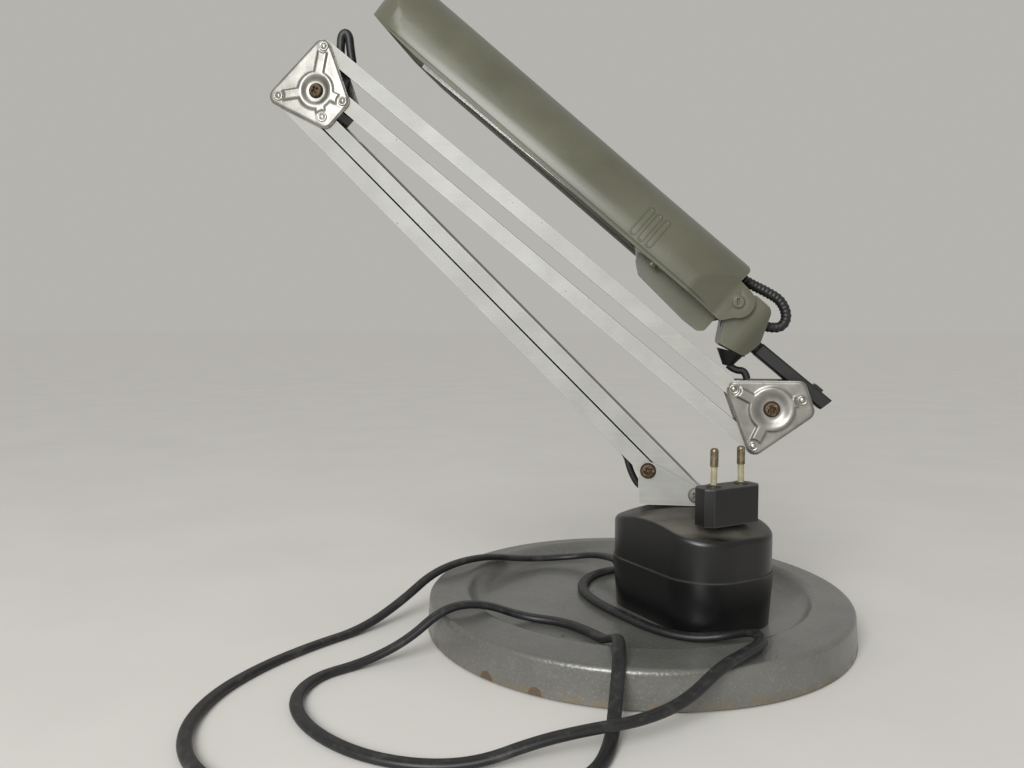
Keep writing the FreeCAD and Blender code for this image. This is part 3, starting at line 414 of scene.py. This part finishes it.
class Finish:
    """One procedural material, built node by node around a Principled shader."""

    def __init__(self, name, **constants):
        self.material = bpy.data.materials.new(name)
        self.material.use_nodes = True
        self.tree = self.material.node_tree
        self.shader = self.tree.nodes["Principled BSDF"]
        for socket, value in constants.items():
            self.shader.inputs[socket.replace("_", " ")].default_value = value
        self.place = self.node("ShaderNodeTexCoord", {}, {}, "Object")
        split = self.node("ShaderNodeSeparateXYZ", {}, {"Vector": self.place}, None)
        self.x, self.y, self.z = (Sock(self, split.outputs[i]) for i in range(3))

    def node(self, kind, settings, inputs, output=0):
        made = self.tree.nodes.new(kind)
        for key, value in settings.items():
            setattr(made, key, value)
        for key, value in inputs.items():
            if isinstance(value, Sock):
                self.tree.links.new(value.socket, made.inputs[key])
            else:
                made.inputs[key].default_value = value
        return made if output is None else Sock(self, made.outputs[output])

    def noise(self, scale, detail=4.0, rough=0.55, at=None, distort=0.0):
        return self.node("ShaderNodeTexNoise", {}, {"Vector": at or self.place, "Scale": scale, "Detail": detail,
                                                     "Roughness": rough, "Distortion": distort}, "Fac")

    def cells(self, scale, feature="F1", at=None, output="Distance"):
        return self.node("ShaderNodeTexVoronoi", {"feature": feature}, {"Vector": at or self.place, "Scale": scale},
                         output)

    def stretched(self, scale, turn=(0.0, 0.0, 0.0)):
        inputs = {"Vector": self.place, "Scale": scale, "Rotation": turn}
        return self.node("ShaderNodeMapping", {}, inputs, "Vector")

    def mix(self, share, a, b):
        return self.node("ShaderNodeMix", {"data_type": "RGBA"}, {0: share, 6: a, 7: b}, 2)

    def up(self):
        """The upward part of the surface's direction, as the piece lies in the folded lamp."""
        normal = self.node("ShaderNodeTexCoord", {}, {}, "Normal")
        split = self.node("ShaderNodeSeparateXYZ", {}, {"Vector": normal}, None)
        return Sock(self, split.outputs[2])

    def edges(self, reach):
        """1 on convex edges, from the surface's own curvature over a small reach; the silver paint lightens them as a
        painted highlight.
        """
        bevel = self.node("ShaderNodeBevel", {"samples": 4}, {"Radius": reach}, "Normal")
        normal = self.node("ShaderNodeNewGeometry", {}, {}, "Normal")
        dot = self.node("ShaderNodeVectorMath", {"operation": "DOT_PRODUCT"}, {0: bevel, 1: normal}, "Value")
        return (1 - dot).over(0.01, 0.12)

    def attribute(self, name):
        return self.node("ShaderNodeAttribute", {"attribute_name": name}, {}, "Fac")

    def near(self, x, y, z, reach):
        """1 at a point in metres, 0 beyond its reach."""
        gap = ((self.x - x) ** 2.0 + (self.y - y) ** 2.0 + (self.z - z) ** 2.0) ** 0.5
        return 1 - gap.over(reach * 0.6, reach)

    def set(self, socket, value):
        target = self.shader.inputs[socket]
        if isinstance(value, Sock):
            self.tree.links.new(value.socket, target)
        else:
            target.default_value = value
        return self

    def bump(self, height, strength, distance):
        normal = self.node("ShaderNodeBump", {}, {"Height": height, "Strength": strength, "Distance": distance},
                           "Normal")
        return self.set("Normal", normal)


def painted(finish, *names):
    for name in names:
        obj = NODES[name] if isinstance(name, str) else name
        if obj.type == "MESH" and len(obj.data.materials) > 0:
            for slot in obj.material_slots:
                slot.material = finish.material
        else:
            obj.data.materials.append(finish.material)


# ---- finishes ---------------------------------------------------------------
def hammered_grey():
    f = Finish("hammered_grey", Metallic=0.45, Coat_Weight=0.25, Coat_Roughness=0.12)
    peel = f.cells(720.0, "SMOOTH_F1")
    grain = f.noise(2200.0, 3.0)
    blotch = f.noise(26.0, 4.0)
    tone = f.mix(blotch.over(0.3, 0.75), srgb(104, 104, 100), srgb(120, 120, 115))
    # pale metal flakes, lightened in the colour as painted glints
    flake_glint = f.cells(1500.0, output="Color")
    flake_glint = f.node("ShaderNodeSeparateColor", {}, {"Color": flake_glint}, "Red").over(0.82, 0.97)
    tone = f.mix(flake_glint * 0.12, tone, srgb(186, 186, 182))
    low = 1 - f.z.over(0.0015, 0.0062)
    worn = low * f.noise(140.0, 6.0, 0.7).over(0.44, 0.56)
    chips = f.near(-0.0944, -0.0875, 0.001, 0.0052).most(f.near(-0.0692, -0.0986, 0.001, 0.0046))
    chips = (chips * 0.75 + f.noise(620.0, 5.0, 0.7) * 0.7).over(0.72, 0.82)
    tone = f.mix(worn * 0.75, tone, srgb(120, 106, 84))
    tone = f.mix(chips * 0.85, tone, srgb(92, 76, 56))
    specks = f.near(-0.0615, -0.0539, 0.011, 0.0013).most(f.near(-0.051, 0.0188, 0.011, 0.0009))
    tone = f.mix(specks, tone, srgb(70, 42, 30))
    f.set("Base Color", tone)
    f.set("Roughness", 0.27 + grain * 0.2 + worn * 0.3)
    f.bump(peel + grain * 0.3 - chips * 0.8, 0.42, 0.00035)
    return f


def black_moulding():
    f = Finish("black_moulding")
    fine = f.noise(1500.0, 2.0)
    smear = f.noise(32.0, 5.0)
    wipe = f.noise(14.0, 3.0, at=f.stretched((1.0, 4.0, 1.0), (0.0, 0.0, 0.9)))
    flat = f.up().over(0.62, 0.97)
    dust = flat * (0.35 + smear.over(0.35, 0.7) * 0.65) * wipe.over(0.3, 0.6)
    tone = f.mix(dust * 0.8, srgb(13, 13, 14), srgb(106, 102, 92))
    scratch = f.noise(1.0, 2.0, at=f.stretched((60.0, 2600.0, 60.0), (0.0, 0.0, 0.35))).over(0.74, 0.8)
    tone = f.mix(scratch * flat * 0.6, tone, srgb(176, 174, 166))
    rim = f.edges(0.0012)
    tone = f.mix(rim * 0.35, tone, srgb(92, 90, 84))
    f.set("Base Color", tone)
    f.set("Roughness", 0.24 + smear * 0.16 + dust * 0.4)
    f.bump(fine, 0.06, 0.0002)
    return f


def silver_paint(name, turn, light=0.0):
    """Silver stove enamel with drawn lines along the arm, with painted shade, a painted dark reflection and painted
    edge highlights in its colour.
    """
    f = Finish(name, Metallic=0.15)
    grain = f.noise(1.0, 3.0, at=f.stretched((14.0, 900.0, 900.0), (0.0, turn, 0.0)))
    cloud = f.noise(45.0, 4.0)
    # painted light and shade: the light argument shifts the whole tone lighter or darker for each copy of this paint
    tone = f.mix(cloud.over(0.3, 0.75), srgb(146 + light, 147 + light, 141 + light),
                 srgb(158 + light, 159 + light, 153 + light))
    tone = f.mix(grain.over(0.5, 0.75) * 0.12, tone, srgb(190, 190, 185))
    speck = f.cells(230.0, output="Distance")
    speck = (1 - speck.over(0.06, 0.1)) * f.noise(90.0).over(0.56, 0.62)
    tone = f.mix(speck * 0.8, tone, srgb(78, 70, 58))
    # painted shade and painted dark reflection: faces turned up and faces turned down are painted darker grey (84, 84,
    # 81)
    shade_facing = f.up()
    tone = f.mix(shade_facing.over(0.25, 0.6) * 0.62, tone, srgb(84, 84, 81))
    tone = f.mix((0 - shade_facing).over(0.25, 0.6) * 0.5, tone, srgb(84, 84, 81))
    # painted highlight: convex edges lightened to near white (216, 216, 212)
    rim = f.edges(0.0007)
    tone = f.mix(rim * 0.6, tone, srgb(216, 216, 212))
    f.set("Base Color", tone)
    f.set("Roughness", 0.46 + grain * 0.1)
    f.bump(grain + speck * -0.5, 0.08, 0.0001)
    return f


def zinc_plate():
    """Pressed steel sheet with a dull bright plating, painted darker on the slopes of its pressing as painted shade.
    """
    f = Finish("zinc_plate", Metallic=0.82)
    cloud = f.noise(70.0, 5.0, 0.6)
    brushed = f.noise(1.0, 3.0, at=f.stretched((500.0, 60.0, 90.0), (0.0, 0.6, 0.0)))
    slope_shade = f.attribute("slope_shade")
    tone = f.mix(cloud.over(0.3, 0.72), srgb(134, 133, 127), srgb(168, 166, 160))
    # painted shade: slopes and the bowl of the pressing painted dark grey (84, 81, 73)
    tone = f.mix(slope_shade.over(0.25, 0.95) * 0.45, tone, srgb(84, 81, 73))
    spots = (1 - f.cells(260.0).over(0.05, 0.12)) * f.noise(60.0).over(0.5, 0.6)
    tone = f.mix(spots * 0.6, tone, srgb(92, 74, 50))
    f.set("Base Color", tone)
    f.set("Roughness", 0.26 + brushed * 0.16 + cloud * 0.08)
    f.bump(brushed + cloud * 0.5, 0.1, 0.00012)
    return f


def olive_paint():
    """Semi-gloss olive paint; the pressed loops and the lip line are in its relief, and are painted darker as painted
    shade.
    """
    f = Finish("olive_paint", Coat_Weight=0.1, Coat_Roughness=0.2)
    turn = math.radians(40.0)
    s = f.x * (1000 * math.cos(turn)) - f.z * (1000 * math.sin(turn)) + 339.4
    t = f.x * (1000 * math.sin(turn)) + f.z * (1000 * math.cos(turn)) - 136.5
    loops = None
    for centre in (182.6, 187.6, 192.6):
        along = (abs(t - 11.0) - 6.6).most(0.0)
        gap = (((s - centre) ** 2.0) + along ** 2.0) ** 0.5
        line = 1 - abs(gap - 1.55).over(0.25, 0.62)
        loops = line if loops is None else loops.most(line)
    on_side = abs(f.y).over(0.012, 0.016) * (1 - abs(s - 187.6).over(8.0, 9.0))
    lip = 1 - abs(t + s * 0.021 - 4.9).over(0.15, 0.5)
    lip = lip * s.over(14.0, 24.0) * (1 - s.over(228.0, 236.0)) * abs(f.y).over(0.02, 0.024)
    orange = f.noise(900.0, 2.0)
    cloud = f.noise(22.0, 4.0)
    dust = f.noise(180.0, 6.0, 0.7)
    tone = f.mix(cloud.over(0.3, 0.72), srgb(80, 80, 66), srgb(92, 92, 77))
    tone = f.mix(dust.over(0.62, 0.78) * 0.3, tone, srgb(120, 120, 104))
    # painted shade: the lip groove and the pressed loops painted dark olive (48, 50, 40)
    tone = f.mix((lip + loops * on_side * 0.4) * 0.5, tone, srgb(48, 50, 40))
    rim = f.edges(0.0008)
    tone = f.mix(rim * 0.35, tone, srgb(128, 130, 112))
    f.set("Base Color", tone)
    f.set("Roughness", 0.29 + orange * 0.06 + cloud * 0.06)
    f.bump(orange * 0.05 + loops * on_side - lip * 0.8, 0.7, 0.0005)
    return f


def rubber(name, colour=(24, 24, 25), grey=(72, 72, 70)):
    f = Finish(name)
    fine = f.noise(1300.0, 3.0)
    worn = f.noise(75.0, 5.0, 0.65)
    streak = f.noise(300.0, 4.0).over(0.5, 0.75)
    f.set("Base Color", f.mix(worn.over(0.5, 0.75) * 0.45 + streak * f.up().over(0.2, 0.9) * 0.3,
                              srgb(*colour), srgb(*grey)))
    f.set("Roughness", 0.36 + worn * 0.2)
    f.bump(fine + worn * 0.6, 0.12, 0.0002)
    return f


def rusty_head():
    f = Finish("rusty_head", Metallic=0.35)
    spots = f.noise(900.0, 6.0, 0.7)
    cloud = f.noise(300.0, 3.0)
    slope_shade = f.attribute("slope_shade")
    tone = f.mix(spots.over(0.35, 0.62), srgb(46, 37, 28), srgb(98, 76, 50))
    tone = f.mix(cloud.over(0.56, 0.7) * 0.6, tone, srgb(150, 130, 104))
    # painted shade: the cross recess and other steep slopes painted near black (30, 18, 12)
    tone = f.mix(slope_shade.over(0.5, 1.0) * 0.75, tone, srgb(30, 18, 12))
    clean = f.x.over(-0.012, -0.006) * (1 - f.z.over(0.078, 0.084))
    tone = f.mix(clean * 0.85, tone, srgb(120, 118, 112))
    f.set("Base Color", tone)
    f.set("Roughness", 0.45 + spots * 0.3)
    f.bump(spots, 0.5, 0.0002)
    return f


def plain(name, colour, other, roughness, metallic=0.0, scale=60.0, depth=0.06, grain=900.0):
    f = Finish(name, Metallic=metallic)
    cloud = f.noise(scale, 5.0)
    fine = f.noise(grain, 3.0)
    f.set("Base Color", f.mix(cloud.over(0.35, 0.75), srgb(*colour), srgb(*other)))
    f.set("Roughness", roughness + (fine - 0.5) * 0.16 + (cloud - 0.5) * 0.1)
    f.bump(fine, depth, 0.0002)
    return f


hammered = hammered_grey()
moulding = black_moulding()
lower_paint = silver_paint("lower_arm_paint", math.radians(135.0))
# painted light and shade: the upper arm's copy is painted 6 levels lighter and the bracket's 4 levels darker
upper_paint = silver_paint("upper_arm_paint", math.radians(-40.0), 6.0)
bracket_paint = silver_paint("bracket_paint", math.radians(15.0), -4.0)
zinc = zinc_plate()
olive = olive_paint()
lead_rubber = rubber("lead_rubber")
core_plastic = rubber("core_plastic", (20, 20, 20), (52, 51, 48))
rust = rusty_head()
steel = plain("dull_steel", (146, 144, 137), (186, 184, 178), 0.3, 0.85, 220.0)
white_plastic = plain("white_plastic", (212, 208, 196), (224, 221, 211), 0.38)
glass_tube = plain("tube_glass", (232, 235, 233), (240, 242, 240), 0.14, 0.0, 30.0, 0.02)
bright_sheet = plain("bright_sheet", (206, 206, 204), (224, 224, 222), 0.2, 0.85, 40.0)
pin_metal = plain("pin_metal", (104, 92, 70), (150, 140, 118), 0.3, 0.85, 400.0)
sleeve_plastic = plain("sleeve_plastic", (140, 134, 104), (160, 155, 128), 0.42, 0.0, 300.0)
copper = plain("winding", (104, 48, 24), (146, 78, 44), 0.38, 0.4, 400.0, 0.5, 1600.0)
lamination = plain("lamination", (84, 82, 78), (112, 110, 104), 0.5, 0.6, 900.0, 0.4, 2400.0)
felt = plain("felt_pad", (38, 38, 37), (54, 53, 50), 0.92, 0.0, 500.0, 0.6, 2400.0)

painted(hammered, "base_plate")
painted(felt, "base_pad")
painted(moulding, "housing_lower", "housing_cover", "switch_frame")
painted(lead_rubber, mains_lead, "cord_boot")
painted(core_plastic, "elbow_core", "head_core", "switch_rocker")
painted(steel, "turret_nuts", "elbow_nut", "head_nut", "swivel_stud", "swivel_washer", "swivel_nut",
        "shade_posts", "housing_screws", "ballast_feet")
painted(lamination, "ballast_core")
painted(copper, "ballast_coil")
painted(white_plastic, "terminal_block", "lampholder", "tube_cap")
painted(olive, "swivel_cup", "holder_cover", "cover_screws")
painted(bright_sheet, "reflector")
painted(glass_tube, "tube_glass")
painted(pin_metal, "plug_pins")
painted(sleeve_plastic, "plug_sleeves")


# ---- arms and bracket ---------------------------------------------------------
softened("lower_rear_channel", "lower_channel_rear", 0.45, lower_paint, "lower_arm")
softened("lower_front_channel", "lower_channel_front", 0.45, lower_paint, "lower_link")
softened("upper_top_channel", "upper_channel_top", 0.45, upper_paint, "upper_arm")
softened("upper_under_channel", "upper_channel_under", 0.45, upper_paint, "upper_link")
softened("hinge_bracket", "bracket_bent", 0.4, bracket_paint, "turret")


softened("shade", "shade_shell", 0.4, olive, "head", flat=False)


# ---- pressed plates -----------------------------------------------------------
ELBOW_OUTLINE = [(0.9, 8.0, 5.0), (14.2, -30.2, 4.5), (0.6, -44.5, 5.0), (-35.4, -26.2, 5.0)]
HEAD_OUTLINE = [(-5.9, 4.5, 5.5), (35.3, 4.5, 4.0), (41.2, -12.6, 5.0), (8.9, -36.6, 4.5)]


def pressed_plate(name, origin, corners, bolt, rivets, ring, side, body, node):
    outline = rounded([(origin[0] + x, origin[1] + z, r) for x, z, r in corners])

    def height(x, z):
        rolled = -0.75 * (1 - smooth(0.0, 1.3, inside_by(outline, x, z)))
        from_bolt = math.hypot(x - bolt[0], z - bolt[1])
        lifted = 1 - smooth(ring - 1.2, ring + 0.5, from_bolt)
        sunk = 0.0
        for rx, rz in rivets:
            dx, dz = rx - bolt[0], rz - bolt[1]
            share = max(0.0, min(1.0, ((x - bolt[0]) * dx + (z - bolt[1]) * dz) / (dx * dx + dz * dz)))
            off = math.hypot(x - bolt[0] - dx * share, z - bolt[1] - dz * share)
            lifted = max(lifted, 1 - smooth(1.9, 3.3, off))
            sunk = max(sunk, 1 - smooth(3.2, 4.0, math.hypot(x - rx, z - rz)))
        raised = 0.95 * lifted * (1 - sunk) + 0.1 * sunk
        bowl = 1 - smooth(4.9, ring - 1.6, from_bolt)
        return rolled + raised - 1.75 * bowl

    bm = bmesh.new()
    relief(bm, outline, side * PLATE_FACE, side * 8.8, height, 0.55)
    return finished(name, bm, body, zinc, (node,), sharp=60.0)


def rivet_heads(name, places, body, node):
    """Clinched rivet ends: a rolled rim round a small dome, on both sides."""
    bm = bmesh.new()
    profile = [(0, 0.75), (0.7, 0.7), (1.15, 0.4), (1.4, 0.25), (1.75, 0.6), (2.15, 0.7), (2.5, 0.5), (2.65, 0.1),
               (2.65, -0.3), (2.0, -0.4), (2.0, -PLATE_FACE)]
    for x, z in places:
        for side in (-1, 1):
            turned(bm, profile, (x, side * (PLATE_FACE + 0.1), z), (0, side, 0), 24)
    return finished(name, bm, body, steel, (node,), sharp=50.0)


def cross_bolts(name, places, head_r, head_h, seat_y, far_y, body, node):
    """Pan heads with a cross recess, on shanks that run to the far side."""
    bm = bmesh.new()
    for k, (x0, z0) in enumerate(places):
        outline = disc_outline(x0, z0, head_r)
        turn = math.radians(22.0 + 31.0 * k)

        def height(x, z):
            dx, dz = x - x0, z - z0
            r = math.hypot(dx, dz) / head_r
            dome = head_h * (1 - 0.42 * r ** 2 - 0.5 * smooth(0.8, 1.0, r))
            a = abs(dx * math.cos(turn) + dz * math.sin(turn))
            b = abs(-dx * math.sin(turn) + dz * math.cos(turn))
            cross = max((1 - smooth(0.35, 0.75, a)) * (1 - smooth(1.5, 2.2, b)),
                        (1 - smooth(0.35, 0.75, b)) * (1 - smooth(1.5, 2.2, a)))
            return dome - 1.25 * cross

        relief(bm, outline, seat_y, seat_y + 0.02, height, 0.2)
        turned(bm, [(0, 0), (2.0, 0), (2.0, far_y - seat_y - 0.4), (1.6, far_y - seat_y), (0, far_y - seat_y)],
               (x0, seat_y, z0), (0, 1, 0), 20)
    return finished(name, bm, body, rust, (node,), sharp=50.0)


ELBOW_RIVETS = [E1, E2, E3, E4]
HEAD_RIVETS = [H1, H2, H3]
ELBOW_SHEET = (E1, ELBOW_OUTLINE, ELBOW_BOLT, ELBOW_RIVETS, 10.4)
HEAD_SHEET = (H1, HEAD_OUTLINE, HEAD_BOLT, HEAD_RIVETS, 11.8)
pressed_plate("elbow_sheet_near", *ELBOW_SHEET, -1, "elbow", "elbow_plate_near")
pressed_plate("elbow_sheet_far", *ELBOW_SHEET, 1, "elbow", "elbow_plate_far")
pressed_plate("head_sheet_near", *HEAD_SHEET, -1, "head_bracket", "head_plate_near")
pressed_plate("head_sheet_far", *HEAD_SHEET, 1, "head_bracket", "head_plate_far")
rivet_heads("elbow_rivet_ends", ELBOW_RIVETS, "elbow", "elbow_rivets")
rivet_heads("head_rivet_ends", HEAD_RIVETS, "head_bracket", "head_rivets")
cross_bolts("elbow_cross_bolt", [ELBOW_BOLT], 4.1, 2.3, -9.2, 13.0, "elbow", "elbow_bolt")
cross_bolts("head_cross_bolt", [HEAD_BOLT], 4.2, 2.3, -9.2, 13.0, "head_bracket", "head_bolt")
cross_bolts("bracket_cross_bolts", [B1, B2], 4.2, 2.4, -10.0, 14.0, "turret", "turret_bolts")


# ---- small cords --------------------------------------------------------------
def ribbed(radius, rib, pitch, until):
    """A rubber sleeve with ribs that tapers into plain cord."""
    def size(way, length):
        if way > until:
            return radius
        swell = rib * (1 - 0.35 * way / until)
        return radius + swell * (0.45 + 0.55 * (0.5 + 0.5 * math.cos(2 * math.pi * way / pitch)))
    return size


def small_cords():
    bm = bmesh.new()
    ex, ez = E1
    route = [(ex + x, 0, ez + z) for x, z in ((5.6, -2.0), (5.9, 4.0), (6.4, 8.6), (8.6, 10.4), (10.8, 8.2),
                                              (11.2, 2.0), (12.4, -6.0))]
    hose(bm, route, lambda way, length: 2.35)
    finished("elbow_cord_bend", bm, "elbow", lead_rubber, ("elbow_cord_loop",))

    bm = bmesh.new()
    feed = [(-44.0, 0, 106.0), (-33.0, 0, 95.0), (-30.5, 0, 84.0), (-25.0, 0, 74.5), (-12.0, 0, 72.0),
            (-3.0, 0, 71.8)]
    hose(bm, feed, lambda way, length: 1.75)
    finished("arm_cable", bm, ("turret", "lower_arm", (-25.0, 0, 75.0), (-41.0, 0, 103.0)), lead_rubber,
             ("arm_cable_lower",))

    bm = bmesh.new()
    stem = [(20.1, 0, 141.6), (23.6, 0, 138.6), (28.9, 0, 138.8), (29.8, 0, 134.3)]
    hose(bm, stem, lambda way, length: 1.9)
    finished("cord_stem", bm, ("head_bracket", "cup", (28.5, 0, 136.0), (21.5, 0, 140.0)), lead_rubber,
             ("head_cord_stem",))

    bm = bmesh.new()
    bend = [on_head(s, 0, t) for s, t in ((233.0, 22.5), (243.0, 23.6), (253.0, 26.0), (262.5, 27.5), (270.8, 22.8),
                                          (271.5, 15.2), (264.2, 11.9))]
    hose(bm, bend, ribbed(2.2, 0.75, 2.1, 60.0), cell=0.35)
    finished("ribbed_cord_bend", bm, ("head", "cup", on_head(246.0, 0, 24.0), on_head(266.0, 0, 14.0)),
             lead_rubber, ("head_cord_loop",))

    bm = bmesh.new()
    start = on_housing(-42.6, 0.0, 22.0)
    out = Vector(on_housing(-43.6, 0.0, 22.0)) - Vector(start)
    profile = [(0, 0.0), (6.4, 0.0), (6.4, 2.0), (5.8, 2.6)]
    for k in range(8):
        r = 4.9 - 0.17 * k
        profile += [(r - 0.9, 2.9 + 2.4 * k), (r - 0.9, 3.7 + 2.4 * k), (r, 4.0 + 2.4 * k), (r, 5.0 + 2.4 * k)]
    profile += [(3.0, 22.3), (0, 22.3)]
    turned(bm, profile, start, out, 24)
    finished("ribbed_gland", bm, "base", lead_rubber, ("cord_gland",))


small_cords()


# ---- plug -------------------------------------------------------------------
def plug_collars():
    bm = bmesh.new()
    turn = math.radians(PLUG_TURN)
    profile = [(1.7, 0.0), (1.7, 1.0), (2.2, 1.3), (3.1, 1.1), (3.7, 0.6), (4.0, 0.0), (1.7, 0.0)]
    for x in (-PIN_OFF_CENTRE, PIN_OFF_CENTRE):
        at = (PLUG_AT[0] + x * math.cos(turn), PLUG_AT[1] + x * math.sin(turn), PLUG_FACE)
        turned(bm, profile, at, (0, 0, 1), 28)
    finished("plug_collars", bm, "base", moulding)


softened("plug_body", "plug_moulding", 0.5, moulding, "base")
plug_collars()


# ---- tilt bosses ------------------------------------------------------------
def tilt_bosses():
    """Round painted bosses over the hinge, each with a short slot."""
    bm = bmesh.new()
    cx, _, cz = on_head(244.8, 0, 11.1)
    boss_r = 3.5
    outline = disc_outline(cx, cz, boss_r)

    def height(x, z):
        dx, dz = x - cx, z - cz
        r = math.hypot(dx, dz)
        slot = (1 - smooth(0.4, 0.75, abs(dx))) * (1 - smooth(1.3, 1.8, abs(dz)))
        return 1.3 - 0.9 * smooth(boss_r - 1.0, boss_r, r) - 1.2 * slot

    for side in (-1, 1):
        relief(bm, outline, side * 22.05, side * 22.0, height, 0.2)
        turned(bm, [(0, 0), (1.6, 0), (1.6, 8.0), (0, 8.0)], (cx, side * 22.0, cz), (0, -side, 0), 16)
    finished("tilt_bosses", bm, "cup", olive, ("tilt_screws",), sharp=50.0)


tilt_bosses()


# ---- stage and light --------------------------------------------------------
def build_stage():
    mesh = bpy.data.meshes.new("table_top")
    bm = bmesh.new()
    bmesh.ops.create_grid(bm, x_segments=1, y_segments=1, size=30.0)
    bm.to_mesh(mesh)
    bm.free()
    table = bpy.data.objects.new("table_top", mesh)
    bpy.context.scene.collection.objects.link(table)
    f = Finish("table_top", Roughness=0.7)
    paper = f.noise(9.0, 6.0)
    f.set("Base Color", f.mix(paper.over(0.3, 0.7), srgb(206, 204, 199), srgb(210, 208, 203)))
    painted(f, table)

    def area(name, place, aim, size, power):
        light = bpy.data.lights.new(name, "AREA")
        light.size = size
        light.energy = power
        lamp = bpy.data.objects.new(name, light)
        lamp.location = place
        lamp.rotation_euler = (Vector(aim) - Vector(place)).to_track_quat("-Z", "Y").to_euler()
        bpy.context.scene.collection.objects.link(lamp)

    area("key_light", (-0.28, -1.05, 0.5), (-0.05, 0.0, 0.16), 0.4, 7.5)
    sun = bpy.data.lights.new("room_light", "SUN")
    sun.energy = 1.25
    sun.angle = math.radians(35.0)
    lamp = bpy.data.objects.new("room_light", sun)
    lamp.rotation_euler = Vector((0.2, 0.75, -0.7)).to_track_quat("-Z", "Y").to_euler()
    bpy.context.scene.collection.objects.link(lamp)
    world = bpy.data.worlds.new("pale_room")
    bpy.context.scene.world = world
    world.use_nodes = True
    tree = world.node_tree
    back = tree.nodes["Background"]
    path = tree.nodes.new("ShaderNodeLightPath")
    seen = tree.nodes.new("ShaderNodeMix")
    seen.data_type = "RGBA"
    tree.links.new(path.outputs["Is Camera Ray"], seen.inputs[0])
    seen.inputs[6].default_value = srgb(243, 241, 237)
    seen.inputs[7].default_value = (0.922, 0.902, 0.846, 1.0)
    tree.links.new(seen.outputs[2], back.inputs["Color"])
    back.inputs["Strength"].default_value = 0.5
    bpy.context.scene.view_settings.view_transform = "Standard"


build_stage()
